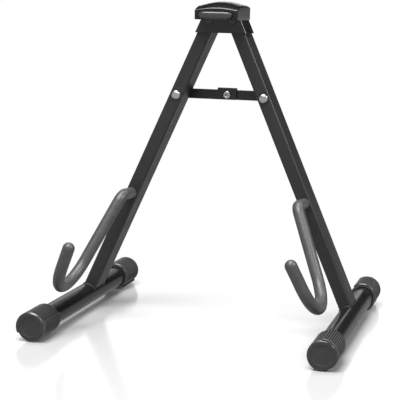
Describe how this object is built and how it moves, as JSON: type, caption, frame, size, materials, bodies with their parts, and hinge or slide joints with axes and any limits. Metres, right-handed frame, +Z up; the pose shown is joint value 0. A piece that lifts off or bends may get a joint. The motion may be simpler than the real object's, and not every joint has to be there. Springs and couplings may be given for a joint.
{
  "type": "folding guitar stand",
  "caption": "Folding A-frame floor stand with two padded hooks, padded head, hinged brace and turning levelling end caps, for an electric guitar.",
  "frame": {"origin": "on the floor, under the middle of the open stand's bounding box", "axes": "+Z up, -Y towards the front, where the hooks reach out, +X to the right as seen from the front"},
  "size_m": [0.3545, 0.3248, 0.3713],
  "materials": {
    "painted_steel": "satin black powder coat",
    "gloss_painted_steel": "gloss black paint",
    "black_fasteners": "black oxide",
    "pad_rubber": "moulded, fine satin",
    "hook_foam": "dense matt foam",
    "cap_rubber": "ribbed, satin end disc",
    "bright_rivets": "polished nickel plate",
    "zinc_steel": "zinc plated",
    "nylon": "moulded black nylon"
  },
  "bodies": {
    "head": {"top_bracket": "painted_steel", "head_pad": "pad_rubber", "pad_bolster": "pad_rubber", "pad_screw_front": "zinc_steel", "pad_screw_rear": "zinc_steel", "left_pivot_rivet": "black_fasteners", "right_pivot_rivet": "black_fasteners", "left_pivot_nut": "black_fasteners", "right_pivot_nut": "black_fasteners"},
    "left_leg": {"left_leg_tube": "painted_steel", "left_pivot_spacer": "zinc_steel", "left_brace_spacer": "zinc_steel", "left_brace_rivet": "bright_rivets", "left_hook_rod": "black_fasteners", "left_hook_sleeve": "hook_foam", "left_hook_washer": "nylon", "left_hook_nut": "black_fasteners", "left_foot_tube": "gloss_painted_steel"},
    "right_leg": {"right_leg_tube": "painted_steel", "right_pivot_spacer": "zinc_steel", "right_brace_spacer": "zinc_steel", "right_brace_rivet": "bright_rivets", "right_hook_rod": "black_fasteners", "right_hook_sleeve": "hook_foam", "right_hook_washer": "nylon", "right_hook_nut": "black_fasteners", "right_foot_tube": "gloss_painted_steel"},
    "left_link": {"left_brace_link": "painted_steel", "brace_centre_rivet": "bright_rivets"},
    "right_link": {"right_brace_link": "painted_steel", "right_brace_rivet_tail": "bright_rivets", "right_brace_washer": "nylon"},
    "left_front_cap": {"left_front_cap": "cap_rubber"},
    "left_rear_cap": {"left_rear_cap": "cap_rubber"},
    "right_front_cap": {"right_front_cap": "cap_rubber"},
    "right_rear_cap": {"right_rear_cap": "cap_rubber"}
  },
  "joints": [
    {"name": "left_leg_fold", "type": "hinge", "parent": "head", "child": "left_leg", "pos_m": [-0.01357, 0.0262, 0.34991], "axis": [0, -1, 0], "range_deg": [0, 22.8]},
    {"name": "right_leg_fold", "type": "hinge", "parent": "head", "child": "right_leg", "pos_m": [0.01357, 0.0262, 0.34991], "axis": [0, 1, 0], "range_deg": [0, 22.8]},
    {"name": "left_link_fold", "type": "hinge", "parent": "left_leg", "child": "left_link", "pos_m": [-0.05199, 0.0452, 0.2627], "axis": [0, -1, 0], "range_deg": [0, 50.3]},
    {"name": "right_link_fold", "type": "hinge", "parent": "left_link", "child": "right_link", "pos_m": [0, 0.0467, 0.2627], "axis": [0, 1, 0], "range_deg": [0, 146.1]},
    {"name": "left_front_cap_turn", "type": "hinge", "parent": "left_leg", "child": "left_front_cap", "pos_m": [-0.1603, -0.1389, 0.0169], "axis": [0, 1, 0], "continuous": true},
    {"name": "left_rear_cap_turn", "type": "hinge", "parent": "left_leg", "child": "left_rear_cap", "pos_m": [-0.1603, 0.1389, 0.0169], "axis": [0, 1, 0], "continuous": true},
    {"name": "right_front_cap_turn", "type": "hinge", "parent": "right_leg", "child": "right_front_cap", "pos_m": [0.1603, -0.1389, 0.0169], "axis": [0, 1, 0], "continuous": true},
    {"name": "right_rear_cap_turn", "type": "hinge", "parent": "right_leg", "child": "right_rear_cap", "pos_m": [0.1603, 0.1389, 0.0169], "axis": [0, 1, 0], "continuous": true}
  ],
  "couplings": [
    {"joint": "right_leg_fold", "follows": "left_leg_fold", "ratio": 1},
    {"joint": "left_link_fold", "follows": "left_leg_fold", "ratio": 2.202},
    {"joint": "right_link_fold", "follows": "left_leg_fold", "ratio": 6.4041}
  ]
}
